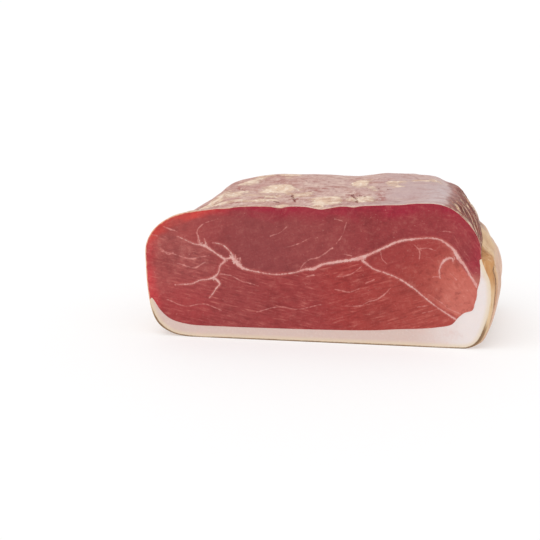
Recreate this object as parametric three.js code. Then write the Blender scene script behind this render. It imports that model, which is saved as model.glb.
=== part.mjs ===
// Half of a boneless cured ham: a pressed block of lean meat with one flat knife cut and a rounded far end.
// A layer of fat with its rind wraps the underside, one flank and the lower part of the far end.
// Millimetres. X runs along the width of the cut, Y from the cut to the far end, Z up.
// The origin is under the middle of the block, on the surface that it lies on.
import * as THREE from "three";

// Driving sizes
const cutY = -75; // plane of the knife cut
const farStartY = 34; // the far end starts to round off here
const farDepth = 41; // and rounds over this depth
const farPower = 0.78; // how blunt the far end is: 1 is an ellipse, 0 a box
const farSlant = 7; // the far end's left side stops this much short of its right side
const middle = new THREE.Vector2(0, 48); // x and z about which the far end closes
const farDrop = 4; // the far end closes this much lower than the middle
const gap = 0.3; // clearance between the fat and the lean

// Mesh density
const crustColumns = 72;
const fatColumns = 44;
const bodySteps = [0, 1.2, 3, 6, 10, 16, 24, 33, 42, 51, 60, 69, 78, 87, 96, 103]; // millimetres from the cut
const farSteps = [0, 13, 25, 36, 46, 55, 63]; // degrees round the far end, under the fat
const fatStopAngle = 68; // degrees, where the fat layer stops on the far end
const tipSteps = [74, 80, 85]; // degrees, past the fat

// Outline of the cut as x and z: down the flank, along the underside, up the other side, back over the top
const flankOutline = [[112.8, 63], [116, 54.5], [118.8, 48], [120, 39.5], [119.8, 31], [118.3, 22], [115.6, 12.5]];
const underOutline = [[111.8, 5], [106, 0.8], [97, 0], [60, 0], [0, 0], [-60, 0], [-88, 0], [-101, 2.2]];
const otherOutline = [[-110.5, 8.5], [-116, 19], [-118.6, 33], [-119.7, 50], [-119.4, 65], [-114.5, 75]];
const topOutline = [[-106, 82.5], [-96, 87], [-80, 90], [-54, 93.5], [-20, 94.8], [15, 95.8], [48, 97.6]];
const shoulderOutline = [[72, 99.4], [84, 99], [92.5, 96], [99, 91.2], [104.5, 85.5], [108.8, 79.5], [111.6, 73]];
const cutOutline = [...flankOutline, ...underOutline, ...otherOutline, ...topOutline, ...shoulderOutline];

// Where the lean meets the fat on the cut, from the flank round to the other side
const flankLean = [[111.6, 62], [112.2, 56.5], [112.4, 51], [111.8, 46], [110.6, 41], [110.4, 36.5], [109.2, 32]];
const cornerLean = [[107.8, 27.2], [102.2, 25], [98, 21.2], [94, 16.6], [84, 14.2], [73, 12.8], [58, 11.8]];
const underLean = [[40, 10.2], [10, 9.2], [-30, 8.6], [-66, 8.4], [-90, 9], [-103, 12.6], [-111, 20], [-115.2, 28.5]];
const leanLine = [...flankLean, ...cornerLean, ...underLean];
const otherBorderLength = 305; // of the outline, from its first point to where the fat ends on the other side

// How the sections further back differ from the cut: each swell pushes the outline out by height, around x and z
const swells = [
  { x: 0, z: 98, reach: 90, from: -75, to: 10, height: 7 }, // the top rises a little
  { x: 14, z: 98, reach: 15, from: -40, to: 30, height: -1.6 }, // a hollow across the top
  { x: -76, z: 91, reach: 16, from: -60, to: 25, height: 3.2 }, // the top's left edge stays up
  { x: -109, z: 80, reach: 26, from: -78, to: 4, height: -15 }, // and the shoulder under it falls off
  { x: 98.5, z: 91, reach: 18, from: -25, to: 40, height: -5.6 }, // the near shoulder too, less
  { x: -119, z: 40, reach: 40, from: -50, to: 40, height: -5 }, // the block narrows
  { x: 112, z: 68, reach: 18, from: -45, to: 30, height: -6.5 }, // the flank leans in under its shoulder
];

// How far the rind stands out from the crust's own surface, behind the cut
const rind = { out: 3, outBehind: 5, outFar: 2.5, outOtherSide: 1.6 };
const shoulder = { extra: 4.5, extraBehind: 7.4, fade: 22, width: 8, widthBehind: 22 }; // beside the flank's border
const otherRound = 14; // it rounds down to the crust again over this length, on the other side
const borderClimb = 17; // the border climbs this far up the flank behind the cut
const borderFall = 10; // and comes down again by this much towards the far end
const edgeThickness = 1.6; // of the fat at its two borders
const lowZone = 9; // the pushes fade out over this height, so that the underside stays flat

// Slow unevenness, as waves: radians per millimetre along x, y and z, then phase and height
const waves = [
  [0.085, 0.06, 0.03, 0.4, 0.62],
  [-0.052, 0.11, 0.05, 1.9, 0.55],
  [0.13, -0.09, 0.08, 3.1, 0.34],
  [0.045, 0.17, -0.07, 5.2, 0.3],
];

const clamp01 = (t) => Math.min(1, Math.max(0, t));
const smooth = (low, high, t) => THREE.MathUtils.smoothstep(t, low, high);
const roundUp = (t) => Math.sqrt(1 - (1 - clamp01(t)) ** 2);
const rise = (t) => Math.sin((Math.PI / 2) * clamp01(t));
const lerp = THREE.MathUtils.lerp;

function splineThrough(points, closed) {
  const places = points.map(([x, z]) => new THREE.Vector3(x, 0, z));
  const curve = new THREE.CatmullRomCurve3(places, closed, "centripetal");
  curve.arcLengthDivisions = 3000;
  return curve;
}

const outline = splineThrough(cutOutline, true);
const outlineLength = outline.getLength();
const lean = splineThrough(leanLine, false);

// A station is one cross-section: how far back, how much it has closed, and how far round the far end it is
function bodyStation(fromCut) {
  return { y: cutY + fromCut, scale: 1, far: 0 };
}

function farStation(degrees) {
  const angle = THREE.MathUtils.degToRad(degrees);
  const far = Math.sin(angle) ** farPower;
  return { y: farStartY + farDepth * far, scale: Math.cos(angle) ** farPower, far };
}

// Length along the outline where the fat starts, on the flank, and stops, on the other side
function flankBorder(y) {
  return -borderClimb * smooth(cutY, -38, y) + borderFall * smooth(-30, 45, y);
}

function otherBorder(y) {
  return otherBorderLength - 8 * smooth(-60, 50, y);
}

function lowFade(z) {
  return smooth(-0.5, lowZone, z);
}

// The block's surface with no lip, at a length along the outline
function skin(arc, station) {
  const share = THREE.MathUtils.euclideanModulo(arc / outlineLength, 1);
  const p = outline.getPointAt(share);
  const tangent = outline.getTangentAt(share);
  const normal = new THREE.Vector2(-tangent.z, tangent.x);
  const fadeIn = smooth(cutY, cutY + 22, station.y) * lowFade(p.z);
  let push = 0;
  for (const s of swells) {
    const away = Math.hypot(p.x - s.x, p.z - s.z) / s.reach;
    push += s.height * Math.exp(-away * away) * smooth(s.from, s.to, station.y);
  }
  for (const [kx, ky, kz, phase, height] of waves)
    push += fadeIn * height * Math.sin(kx * p.x + ky * station.y + kz * p.z + phase);
  const centreZ = middle.y - farDrop * station.far;
  const x = middle.x + station.scale * (p.x + normal.x * push - middle.x);
  const z = centreZ + station.scale * (p.z + normal.y * push - middle.y);
  const y = station.y + farSlant * smooth(-20, farStartY + farDepth, station.y) * (x / 120 - 1) * 0.5;
  return { point: new THREE.Vector3(x, y, Math.max(0, z)), normal, low: lowFade(p.z) };
}

// How far the rind stands out from the skin, at a length along the outline
function lipHeight(arc, y) {
  const behind = smooth(-70, -34, y);
  const farther = smooth(-5, 50, y);
  const below = arc - flankBorder(y);
  const extra = lerp(shoulder.extra, shoulder.extraBehind, behind) * Math.exp(-((below / shoulder.fade) ** 2));
  const plain = lerp(lerp(rind.out, rind.outBehind, behind), rind.outFar, farther);
  const out = lerp(plain + extra * (1 - 0.5 * farther), rind.outOtherSide, smooth(90, 250, arc));
  const flankRise = rise(below / lerp(shoulder.width, shoulder.widthBehind, behind));
  return out * roundUp((y - cutY) / 6) * flankRise * rise((otherBorder(y) - arc) / otherRound);
}

// Columns stand closer together near both borders of the fat
function fatShare(i) {
  const t = i / fatColumns;
  return t - 0.1 * Math.sin(2 * Math.PI * t);
}

function fatArc(share, y) {
  return lerp(flankBorder(y), otherBorder(y), share);
}

function rindPoint(share, station) {
  const arc = fatArc(share, station.y);
  const { point, normal, low } = skin(arc, station);
  const out = station.scale * lipHeight(arc, station.y);
  point.x += normal.x * out;
  point.z = Math.max(0, point.z + normal.y * out * (normal.y < 0 ? low : 1));
  return point;
}

// The lean under the fat: the skin moved in by the fat's thickness at the cut, thinner towards the far end
function underFat(share, station) {
  const onCut = outline.getPointAt(THREE.MathUtils.euclideanModulo(fatArc(share, cutY) / outlineLength, 1));
  const inward = lean.getPointAt(share).sub(onCut);
  const { point } = skin(fatArc(share, station.y), station);
  const keep = lerp(1, 0.72, smooth(-30, farStartY, station.y)) * station.scale;
  const farThickness = lerp(edgeThickness, 7, Math.sqrt(Math.sin(Math.PI * clamp01(share))));
  point.x += inward.x * keep;
  point.z += inward.z * keep;
  point.y -= farThickness * station.far;
  return point;
}

function crustPoint(i, station) {
  const start = otherBorder(station.y);
  const end = outlineLength + flankBorder(station.y);
  return skin(lerp(start, end, i / crustColumns), station).point;
}

const row = (columns, make) => Array.from({ length: columns + 1 }, (_, i) => make(i));

// Triangles between two rows of points
function strip(a, b) {
  return a.slice(1).flatMap((next, i) => [[a[i], next, b[i]], [next, b[i + 1], b[i]]]);
}

function sheet(rows) {
  return rows.slice(1).flatMap((next, j) => strip(rows[j], next));
}

const closedRow = (points) => [...points, points[0]];
const turned = (triangles) => triangles.map(([a, b, c]) => [a, c, b]);

function geometryOf(triangles) {
  const positions = triangles.flatMap((corners) => corners.flatMap((p) => [p.x, p.y, p.z]));
  const geometry = new THREE.BufferGeometry();
  geometry.setAttribute("position", new THREE.Float32BufferAttribute(positions, 3));
  geometry.computeVertexNormals();
  return geometry;
}

// A fan from one point to the points of a ring
function fan(ring, centre) {
  return ring.slice(1).map((next, i) => [ring[i], centre, next]);
}

// Moves each point of a grid along the grid's own normal
function moveAlongNormal(rows, distance) {
  const within = (i, list) => list[Math.min(list.length - 1, Math.max(0, i))];
  const at = (j, i) => within(i, within(j, rows));
  return rows.map((points, j) =>
    points.map((p, i) => {
      const alongRow = at(j, i + 1).clone().sub(at(j, i - 1));
      const alongColumn = at(j + 1, i).clone().sub(at(j - 1, i));
      const normal = alongRow.cross(alongColumn).normalize();
      if (j === 0) normal.setY(0).normalize(); // the cut stays flat
      return p.clone().addScaledVector(normal, distance);
    }),
  );
}

// Draws both ends of a row in, so that the fat's borders clear the lean
function shortened(points) {
  const toward = (p, q) => p.clone().addScaledVector(q.clone().sub(p).normalize(), gap * 1.4);
  return [toward(points[0], points[1]), ...points.slice(1, -1), toward(points.at(-1), points.at(-2))];
}

const bodyStations = bodySteps.map(bodyStation);
const farStations = farSteps.map(farStation);
const stations = [...bodyStations, ...farStations];
const stopStation = farStation(fatStopAngle);

function leanSolid() {
  const buried = (station) => row(fatColumns, (i) => underFat(fatShare(i), station));
  const bare = (station) => row(fatColumns, (i) => skin(fatArc(fatShare(i), station.y), station).point);
  const crust = (station) => row(crustColumns, (i) => crustPoint(i, station));
  const covered = [...stations, stopStation].map((s) => closedRow([...crust(s), ...buried(s)]));
  const tipStations = [fatStopAngle + 0.4, ...tipSteps].map(farStation);
  const rings = [...covered, ...tipStations.map((s) => closedRow([...crust(s), ...bare(s)]))];
  const cut = fan(rings[0], new THREE.Vector3(middle.x, cutY, middle.y));
  const tip = turned(fan(rings.at(-1), skin(0, farStation(90)).point));
  return geometryOf([...sheet(rings), ...cut, ...tip]);
}

function fatSolid() {
  const own = [...stations, farStation(fatStopAngle - 0.6)];
  const overLean = own.map((s) => shortened(row(fatColumns, (i) => underFat(fatShare(i), s))));
  const inner = moveAlongNormal(overLean, gap);
  const outer = own.map((s) => shortened(row(fatColumns, (i) => rindPoint(fatShare(i), s))));
  const side = (i) => [inner.map((points) => points.at(i)), outer.map((points) => points.at(i))];
  const walls = [
    ...strip(inner[0], outer[0]),
    ...strip(outer.at(-1), inner.at(-1)),
    ...strip(...side(-1)),
    ...turned(strip(...side(0))),
  ];
  return geometryOf([...sheet(outer), ...turned(sheet(inner)), ...walls]);
}

function meshOf(name, geometry, color, roughness) {
  const mesh = new THREE.Mesh(geometry, new THREE.MeshStandardMaterial({ color, roughness, metalness: 0 }));
  mesh.name = name;
  return mesh;
}

// Stands the block over the origin: the middle of its box in X and Y
function centred(group) {
  const box = new THREE.Box3().setFromObject(group);
  group.position.set(-(box.min.x + box.max.x) / 2, -(box.min.y + box.max.y) / 2, -box.min.z);
  return group;
}

const ham = new THREE.Group();
ham.add(meshOf("lean_meat", leanSolid(), 0x93403f, 0.5));
ham.add(meshOf("fat_layer", fatSolid(), 0xe9ddd0, 0.45));

export default centred(ham);
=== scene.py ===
import math
import bpy
import numpy as np
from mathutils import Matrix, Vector


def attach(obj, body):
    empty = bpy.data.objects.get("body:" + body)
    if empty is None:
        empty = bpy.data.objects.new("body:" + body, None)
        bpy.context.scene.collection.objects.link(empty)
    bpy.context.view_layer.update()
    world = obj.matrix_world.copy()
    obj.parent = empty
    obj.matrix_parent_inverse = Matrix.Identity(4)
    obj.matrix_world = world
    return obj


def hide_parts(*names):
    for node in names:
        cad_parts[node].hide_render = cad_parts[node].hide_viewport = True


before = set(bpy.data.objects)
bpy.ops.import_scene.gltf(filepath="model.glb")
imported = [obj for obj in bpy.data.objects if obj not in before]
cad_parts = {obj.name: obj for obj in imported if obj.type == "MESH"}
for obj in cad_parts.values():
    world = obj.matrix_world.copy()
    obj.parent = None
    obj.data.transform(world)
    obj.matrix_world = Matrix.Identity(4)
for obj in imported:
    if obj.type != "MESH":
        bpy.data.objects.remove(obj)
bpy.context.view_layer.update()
print("frame loaded")

# The block's form in millimetres, as the solids have it: x across the cut, y from the cut to the back, z up
block = {
    "centred": (-2.82, 1.545, 0.0),  # how far it moves to stand over the origin
    "halfWidth": 120.0,
    "cutY": -75.0,
    "farStartY": 34.0,
    "farDepth": 41.0,
    "farPower": 0.78,
    "farSlant": 7.0,
    "middleZ": 48.0,
    "farDrop": 4.0,
    "lowZone": 9.0,
    "fatStopAngle": 68.0,
    "fatStopGap": (0.06, 0.03),  # degrees before it where the fat ends, and behind it where the crust goes on
    "fatFar": 0.72,  # the fat's thickness towards the far end, as a share of that at the cut
    "fatFarGap": (1.6, 7.0),  # the same on the far end itself, at the borders and between them
    "outline": [
        (112.8, 63), (116, 54.5), (118.8, 48), (120, 39.5), (119.8, 31), (118.3, 22), (115.6, 12.5),
        (111.8, 5), (106, 0.8), (97, 0), (60, 0), (0, 0), (-60, 0), (-88, 0), (-101, 2.2), (-110.5, 8.5),
        (-116, 19), (-118.6, 33), (-119.7, 50), (-119.4, 65), (-114.5, 75), (-106, 82.5), (-96, 87),
        (-80, 90), (-54, 93.5), (-20, 94.8), (15, 95.8), (48, 97.6), (72, 99.4), (84, 99), (92.5, 96),
        (99, 91.2), (104.5, 85.5), (108.8, 79.5), (111.6, 73)],
    "leanLine": [
        (111.6, 62), (112.2, 56.5), (112.4, 51), (111.8, 46), (110.6, 41), (110.4, 36.5), (109.2, 32),
        (107.8, 27.2), (102.2, 25), (98, 21.2), (94, 16.6), (84, 14.2), (73, 12.8), (58, 11.8), (40, 10.2),
        (10, 9.2), (-30, 8.6), (-66, 8.4), (-90, 9), (-103, 12.6), (-111, 20), (-115.2, 28.5)],
    "otherBorder": 305.0,
    # each swell: x, z, reach, the y where it starts and where it is whole, height
    "swells": [
        (0, 98, 90, -75, 10, 7), (14, 98, 15, -40, 30, -1.6), (-76, 91, 16, -60, 25, 3.2),
        (-109, 80, 26, -78, 4, -15), (98.5, 91, 18, -25, 40, -5.6), (-119, 40, 40, -50, 40, -5),
        (112, 68, 18, -45, 30, -6.5)],
    # each wave: radians per millimetre along x, y and z, phase, height
    "waves": [
        (0.085, 0.06, 0.03, 0.4, 0.62), (-0.052, 0.11, 0.05, 1.9, 0.55), (0.13, -0.09, 0.08, 3.1, 0.34),
        (0.045, 0.17, -0.07, 5.2, 0.3)],
    "waveFade": 22.0,
    "rindOut": (3.0, 5.0, 2.5, 1.6),  # at the cut, behind it, on the far end, on the other side
    "shoulderExtra": (4.5, 7.4),
    "shoulderFade": 22.0,
    "shoulderWidth": (8.0, 22.0),
    "otherRound": 14.0,
    "lipDepth": 6.0,
    "borderClimb": 17.0,
    "borderFall": 10.0,
}
mesh = {
    "cutColumns": 380,
    "cutRows": 120,
    "fatRows": 24,
    "hiddenColumns": 40,
    "firstStep": 0.45,
    "lastStep": 1.6,
    "farRows": 44,
    "farReach": 80.0,  # about how far the far end runs from its middle to its edge
    "pathStep": 0.2,  # between the dense points of a path
    "sharpAngle": 62.0,
}
millimetre = 0.001
nowhere = 9.0  # the distance that stands for being far from any mark


def smooth(low, high, t):  # 0 below low, 1 above high, 3t2 - 2t3 between
    t = np.clip((t - low) / (high - low), 0, 1)
    return t * t * (3 - 2 * t)


def mixed(a, b, t):
    return a + (b - a) * t


def roundUp(t):  # a quarter circle from 0 to 1
    return np.sqrt(1 - (1 - np.clip(t, 0, 1)) ** 2)


def rise(t):  # a quarter sine from 0 to 1
    return np.sin(0.5 * np.pi * np.clip(t, 0, 1))


def bell(t):  # 1 at 0, falling to nothing on both sides
    return np.exp(-t ** 2)


def evenly(count):  # from 0 to 1 in as many steps
    return np.linspace(0, 1, count + 1)


def betweenEnds(u, share):  # 0 at both ends of a row, 1 from that share of it on
    return np.minimum(smooth(0, share, u), smooth(1, 1 - share, u))


# Noise between -1 and 1: random values on the corners of cubes of a size, blended smoothly inside each cube
def cubeNoise(points, size, seed):
    flat = np.zeros(points.shape[:-1] + (3 - points.shape[-1],))
    scaled = np.concatenate([points, flat], -1) / size
    cell = np.floor(scaled).astype(np.int64)
    inside = scaled - cell
    inside = inside * inside * (3 - 2 * inside)
    total = np.zeros(points.shape[:-1])
    for corner in np.ndindex(2, 2, 2):
        at = (cell + np.array(corner)).astype(np.uint32)
        mash = np.bitwise_xor.reduce(at * np.array([73856093, 19349663, 83492791], np.uint32), -1)
        mash = (mash ^ np.uint32(seed * 7919)) * np.uint32(2654435761)
        mash = (mash ^ (mash >> np.uint32(15))) * np.uint32(2246822519)
        mash = mash ^ (mash >> np.uint32(13))
        share = np.where(np.array(corner, bool), inside, 1 - inside).prod(axis=-1)
        total += share * (mash.astype(float) / 2147483648.0 - 1)
    return total


def layeredNoise(points, size, seed, layers=3):  # each layer half as large and half as strong
    return sum(0.5 ** k * cubeNoise(points, size * 0.5 ** k, seed + k) for k in range(layers))


def warped(points, size, amount, seed):  # the points moved along each axis by a noise of its own
    moves = [layeredNoise(points, size, seed + 10 * k, 2) for k in range(points.shape[-1])]
    return points + amount * np.stack(moves, -1)


def wrinkles(points, size, width, seed):  # 1 along the lines where a noise changes sign, 0 away from them
    return smooth(width, 0, np.abs(layeredNoise(points, size, seed, 2)))


# A smooth line through points, the centripetal Catmull-Rom spline of the solids, with its lengths and its
# outward normals, which are its direction turned by a right angle
def smoothLine(points, closed):
    p = np.array(points, float)
    p = np.vstack([p[-1:], p, p[:2]]) if closed else np.vstack([2 * p[:1] - p[1:2], p, 2 * p[-1:] - p[-2:-1]])
    a, b, c, d = p[:-3], p[1:-2], p[2:-1], p[3:]
    gapA, gapB, gapC = (np.sqrt(np.linalg.norm(u, axis=1))[:, None] for u in (b - a, c - b, d - c))
    startSlope = ((b - a) / gapA - (c - a) / (gapA + gapB) + (c - b) / gapB) * gapB
    endSlope = ((c - b) / gapB - (d - b) / (gapB + gapC) + (d - c) / gapC) * gapB
    t = np.linspace(0, 1, 80, endpoint=False)[None, :, None]
    b, c, startSlope, endSlope = (v[:, None, :] for v in (b, c, startSlope, endSlope))
    curve = b + startSlope * t + (-3 * b + 3 * c - 2 * startSlope - endSlope) * t ** 2
    curve = (curve + (2 * b - 2 * c + startSlope + endSlope) * t ** 3).reshape(-1, 2)
    curve = np.vstack([curve, p[-2:-1]])
    length = np.append(0, np.cumsum(np.linalg.norm(np.diff(curve, axis=0), axis=1)))
    along = np.gradient(curve, length, axis=0)
    along /= np.linalg.norm(along, axis=1)[:, None]
    normal = np.stack([-along[:, 1], along[:, 0]], 1)
    return {"xz": curve, "at": length, "total": length[-1], "normal": normal}


def onLine(line, length, what="xz"):  # the line's place or normal at a length along it
    length = np.asarray(length, float)
    return np.stack([np.interp(length, line["at"], line[what][:, k]) for k in (0, 1)], -1)


outline = smoothLine(block["outline"], True)
leanLine = smoothLine(block["leanLine"], False)


def wander(y, seed):  # both borders wander a little behind the cut
    spots = np.stack([np.full_like(y, seed * 31.0), y, np.zeros_like(y)], -1)
    return 1.5 * smooth(-75, -66, y) * layeredNoise(spots, 13.0, seed)


def flankBorder(y):  # length along the outline where the fat starts, on the flank
    climb = block["borderClimb"] * smooth(-75, -38, y) - block["borderFall"] * smooth(-30, 45, y)
    return wander(y, 3) - climb


def otherBorder(y):  # and where it ends, on the other side
    return wander(y, 5) + block["otherBorder"] - 8 * smooth(-60, 50, y)


# The block's surface: the outline pushed out by swells and waves, and shrunk to the middle at the far end
def skin(arc, y, scale, far):
    arc = np.mod(arc, outline["total"])
    p, normal = onLine(outline, arc), onLine(outline, arc, "normal")
    low = smooth(-0.5, block["lowZone"], p[..., 1])
    push = 0
    for x, z, reach, start, whole, height in block["swells"]:
        away = ((p[..., 0] - x) ** 2 + (p[..., 1] - z) ** 2) / reach ** 2
        push = push + height * np.exp(-away) * smooth(start, whole, y)
    fade = smooth(0, block["waveFade"], y - block["cutY"]) * low
    for kx, ky, kz, phase, height in block["waves"]:
        push = push + fade * height * np.sin(kx * p[..., 0] + ky * y + kz * p[..., 1] + phase)
    x = scale * (p[..., 0] + normal[..., 0] * push)
    z = p[..., 1] + normal[..., 1] * push - block["middleZ"]
    z = block["middleZ"] - block["farDrop"] * far + scale * z
    slant = block["farSlant"] * smooth(-20, block["farStartY"] + block["farDepth"], y)
    return np.stack([x, y + slant * (x / block["halfWidth"] - 1) * 0.5, np.maximum(0, z)], -1), normal, low


# How far the rind stands out: a quarter circle up from the cut, a quarter sine in from each border
def lipHeight(arc, y):
    atCut, behindCut, atFar, atOther = block["rindOut"]
    behind, farther = smooth(-70, -34, y), smooth(-5, 50, y)
    below = arc - flankBorder(y)
    extra = mixed(*block["shoulderExtra"], behind) * bell(below / block["shoulderFade"])
    plain = mixed(mixed(atCut, behindCut, behind), atFar, farther)
    out = mixed(plain + extra * (1 - 0.5 * farther), atOther, smooth(90, 250, arc))
    out = out * roundUp((y - block["cutY"]) / block["lipDepth"])
    out = out * rise(below / mixed(*block["shoulderWidth"], behind))
    return out * rise((otherBorder(y) - arc) / block["otherRound"])


# Where the rows lie from the cut to the far end: steps that start small, then equal angles round the end
def depthRows(lastAngle):
    steps = mixed(mesh["lastStep"], mesh["firstStep"], np.exp(-np.arange(300) / 9))
    body = np.cumsum(steps)
    whole = block["farStartY"] - block["cutY"]
    body = body[:np.searchsorted(body, whole) + 1]
    return stations(block["cutY"] + body * whole / body[-1], farAngles(0, lastAngle))


def farAngles(first, last):  # spaced evenly along the surface
    degrees = np.linspace(0, 90, 1801)
    turn = np.radians(degrees)
    path = np.stack([mesh["farReach"] * np.cos(turn).clip(0) ** block["farPower"],
                     block["farDepth"] * np.sin(turn) ** block["farPower"]], 1)
    length = np.append(0, np.cumsum(np.linalg.norm(np.diff(path, axis=0), axis=1)))
    angle = np.interp(np.linspace(0, length[-1], mesh["farRows"] + 1), length, degrees)
    return np.append(angle[(angle > first + 0.3) & (angle < last - 0.3)], last)


def stations(body, angle):  # y, how much the section has shrunk, and how far round the far end it is
    angle = np.radians(angle)
    y = np.concatenate([body, block["farStartY"] + block["farDepth"] * np.sin(angle) ** block["farPower"]])
    scale = np.concatenate([np.ones_like(body), np.cos(angle) ** block["farPower"]])
    far = np.concatenate([np.zeros_like(body), np.sin(angle) ** block["farPower"]])
    return y[:, None], scale[:, None], far[:, None]


def fatArc(share, y):  # length along the outline at a share of the way from one border to the other
    return mixed(flankBorder(y), otherBorder(y), share)


# The boundary under the fat: the skin moved in by the fat's thickness at the cut
def underFat(share, y, scale, far):
    inward = onLine(leanLine, share * leanLine["total"]) - onLine(outline, block["otherBorder"] * share)
    p, _, _ = skin(fatArc(share, y), y, scale, far)
    keep = mixed(1, block["fatFar"], smooth(-30, block["farStartY"], y)) * scale
    p[..., 0] += inward[..., 0] * keep
    p[..., 2] += inward[..., 1] * keep
    p[..., 1] -= mixed(*block["fatFarGap"], np.sqrt(np.sin(np.pi * np.clip(share, 0, 1)))) * far
    return p


# The surface pushed out along its outward normal, which is the step along the row crossed with the step back
def raised(grid, height):
    normal = np.cross(np.gradient(grid, axis=1), np.gradient(grid, axis=0))
    normal /= np.maximum(1e-9, np.linalg.norm(normal, axis=-1))[..., None]
    return grid + normal * height[..., None]


def cellTriangles(at):  # two triangles in each cell of a grid of point numbers
    one = np.stack([at[:-1, :-1], at[:-1, 1:], at[1:, :-1]], -1).reshape(-1, 3)
    two = np.stack([at[:-1, 1:], at[1:, 1:], at[1:, :-1]], -1).reshape(-1, 3)
    return np.vstack([one, two])


# Triangles between two rows of points with different counts, each point with its rising place along the row
def zipped(rowA, placeA, rowB, placeB):
    lastB = np.clip(np.searchsorted(placeB, placeA[1:], side="right") - 1, 0, len(rowB) - 1)
    lastA = np.clip(np.searchsorted(placeA, placeB[1:], side="left") - 1, 0, len(rowA) - 1)
    fromA = np.stack([rowA[:-1], rowA[1:], rowB[lastB]], -1)
    fromB = np.stack([rowA[lastA], rowB[1:], rowB[:-1]], -1)
    return np.vstack([fromA, fromB])


# A closed skin: the cut's grid in front, then rings behind it, each a seen row at u and a hidden row at share
def stitched(cut, rings, u, share):
    rows = cut.shape[0] - 1
    cutAt = np.arange(cut.shape[0] * cut.shape[1]).reshape(cut.shape[:2])
    ringAt = cutAt.size + np.arange(rings.shape[0] * rings.shape[1]).reshape(rings.shape[:2])
    ringAt = np.hstack([ringAt, ringAt[:, :1]])
    side = np.arange(1, rows) / rows
    front = np.concatenate([cutAt[-1], cutAt[-2:0:-1, -1], cutAt[0, ::-1], cutAt[1:-1, 0], cutAt[-1, :1]])
    frontPlace = np.concatenate([u, 1 + side, 2 + u, 3 + side, [4]])
    ringPlace = np.concatenate([u, 2 + share, [4]])
    around = np.vstack([zipped(front, frontPlace, ringAt[0], ringPlace), cellTriangles(ringAt)])
    return cellTriangles(cutAt), around, ringAt


def nearest(spots, path):  # for each spot, which of a path's dense points is nearest, and how far away it is
    which, away = [], []
    for some in np.array_split(spots, max(1, len(spots) * len(path) // 4000000)):
        square = ((some[:, None, :] - path[None]) ** 2).sum(-1)
        which.append(square.argmin(axis=1))
        away.append(np.sqrt(square.min(axis=1)))
    return np.concatenate(which), np.concatenate(away)


# Drawn lines, each given by points as two places and a half width. For each spot: the distance to the nearest
# line, below 0 on one side of it, that line's half width there, and the distance less the half width
def lineField(spots, lines):
    field = np.tile([nowhere, 0.0, nowhere], (len(spots), 1))
    for points in lines:
        line = smoothLine([p[:2] for p in points], False)
        length = np.arange(0, line["total"], 0.3)
        knots = np.array(points, float)
        reached = np.append(0, np.cumsum(np.linalg.norm(np.diff(knots[:, :2], axis=0), axis=1)))
        width = np.interp(length * reached[-1] / line["total"], reached, knots[:, 2])
        which, away = nearest(spots, onLine(line, length))
        offset = spots - onLine(line, length)[which]
        side = (offset * onLine(line, length, "normal")[which]).sum(-1)
        side = np.where(np.abs(side) > 0.2 * away, side, away)
        closer = away - width[which] < field[:, 2]
        field[closer] = np.stack([side, width[which], away - width[which]], -1)[closer]
    return field


# Distance in millimetres to the edge of turned ellipses, about right near their edges
def ellipseField(spots, ellipses):
    field = np.full(spots.shape[:-1], 30.0)
    for x, y, long, wide, turn in ellipses:
        c, s = math.cos(math.radians(turn)), math.sin(math.radians(turn))
        dx, dy = spots[..., 0] - x, spots[..., 1] - y
        u, v = (c * dx + s * dy) / long, (c * dy - s * dx) / wide
        field = np.minimum(field, (np.sqrt(u * u + v * v) - 1) * math.sqrt(long * wide))
    return field


def linear(r, g, b):  # a colour given as 0 to 255, turned into the shader's own scale
    c = np.array([r, g, b]) / 255.0
    return (*np.where(c <= 0.04045, c / 12.92, ((c + 0.055) / 1.055) ** 2.4), 1.0)


def added(name, data):  # a new object, put into the scene
    thing = bpy.data.objects.new(name, data)
    bpy.context.scene.collection.objects.link(thing)
    return thing


# A piece from its points, its triangles, which of its materials each has, and the values stored at its points
def makePiece(name, points, triangles, materials, faceMaterial, values):
    made = bpy.data.meshes.new(name)
    made.vertices.add(len(points))
    made.vertices.foreach_set("co", ((points + block["centred"]) * millimetre).astype(np.float32).ravel())
    made.loops.add(len(triangles) * 3)
    made.loops.foreach_set("vertex_index", triangles.astype(np.int32).ravel())
    made.polygons.add(len(triangles))
    made.polygons.foreach_set("loop_start", np.arange(0, len(triangles) * 3, 3, dtype=np.int32))
    made.polygons.foreach_set("use_smooth", np.ones(len(triangles), bool))
    made.polygons.foreach_set("material_index", faceMaterial.astype(np.int32))
    for key, value in values.items():
        kind, field = ("FLOAT", "value") if value.ndim == 1 else ("FLOAT_VECTOR", "vector")
        made.attributes.new(key, kind, "POINT").data.foreach_set(field, value.astype(np.float32).ravel())
    for material in materials:
        made.materials.append(material)
    made.update(calc_edges=True)
    made.validate()
    made.set_sharp_from_angle(angle=math.radians(mesh["sharpAngle"]))
    print(name, "has", len(points), "points and", len(triangles), "triangles")
    return added(name, made)


work = {}  # the node tree that nodes are placed in now


def place(kind, inputs={}, **settings):  # one node with its settings, its values and its links
    made = work["tree"].nodes.new("ShaderNode" + kind)
    for key, value in settings.items():
        setattr(made, key, value)
    for key, value in inputs.items():
        if isinstance(value, bpy.types.NodeSocket):
            work["tree"].links.new(value, made.inputs[key])
        else:
            made.inputs[key].default_value = value
    return made


def maths(operation, a, b=0.0):
    return place("Math", {0: a, 1: b}, operation=operation).outputs[0]


def times(*values):  # the product of some masks and numbers
    total = values[0]
    for value in values[1:]:
        total = maths("MULTIPLY", total, value)
    return total


def summed(*pairs):  # the sum of masks, each with its own weight
    total = maths("MULTIPLY", *pairs[0])
    for value, weight in pairs[1:]:
        total = maths("ADD", total, maths("MULTIPLY", value, weight))
    return total


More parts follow.
